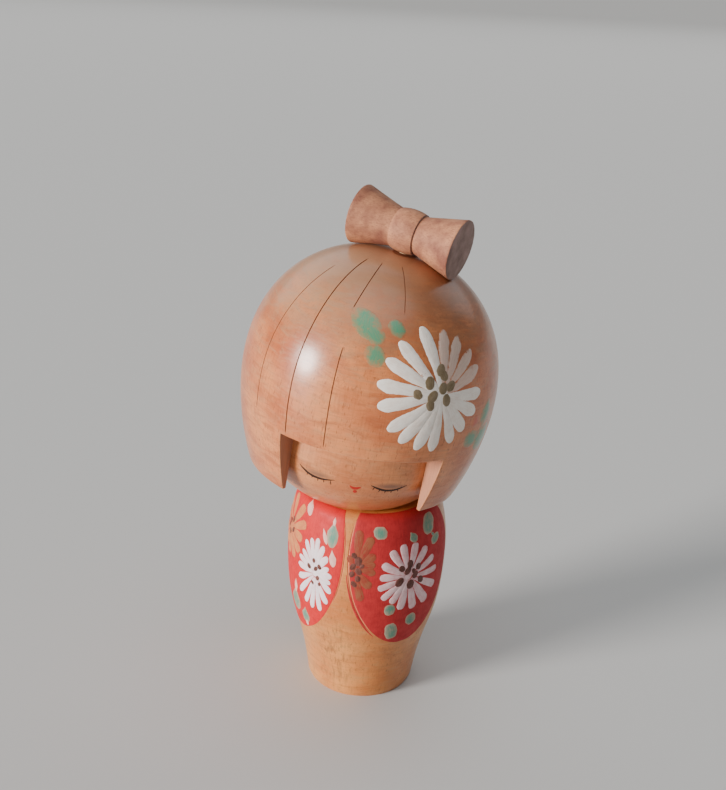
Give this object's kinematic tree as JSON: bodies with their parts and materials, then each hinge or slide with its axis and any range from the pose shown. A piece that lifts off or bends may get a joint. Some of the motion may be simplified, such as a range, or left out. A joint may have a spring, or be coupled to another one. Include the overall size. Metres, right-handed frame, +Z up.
{
  "type": "kokeshi doll",
  "caption": "Turned wooden doll with a solid body, a leaning head that turns on a neck dowel, a bobbed hair shell round a face plug, and a spool-shaped hair bow.",
  "frame": {"origin": "centre of the round foot, on the surface that the doll stands on", "axes": "+Z up along the body's axis, -Y where the face looks at rest, +X the doll's left"},
  "size_m": [0.0703, 0.07, 0.1461],
  "materials": {
    "body_wood": "aged satin varnish over turned wood",
    "hair_wood": "aged satin varnish over turned wood",
    "face_wood": "aged satin varnish over turned wood",
    "bow_wood": "matte stained wood",
    "dowel_wood": "bare turned dowel",
    "red_paint": "brushed opaque paint",
    "petal_paint": "thick brushed paint",
    "bronze_paint": "thick brushed paint",
    "leaf_paint": "thick brushed paint",
    "dark_paint": "thin brushed paint"
  },
  "bodies": {
    "torso": {"body": "body_wood", "neck_peg": "dowel_wood"},
    "head": {"face_core": "face_wood", "hair_cap": "hair_wood", "bow": "bow_wood", "bow_peg": "dowel_wood"}
  },
  "joints": [
    {"name": "head_turn", "type": "hinge", "parent": "torso", "child": "head", "pos_m": [0, 0, 0.0615], "axis": [0, 0, 1], "continuous": true}
  ]
}
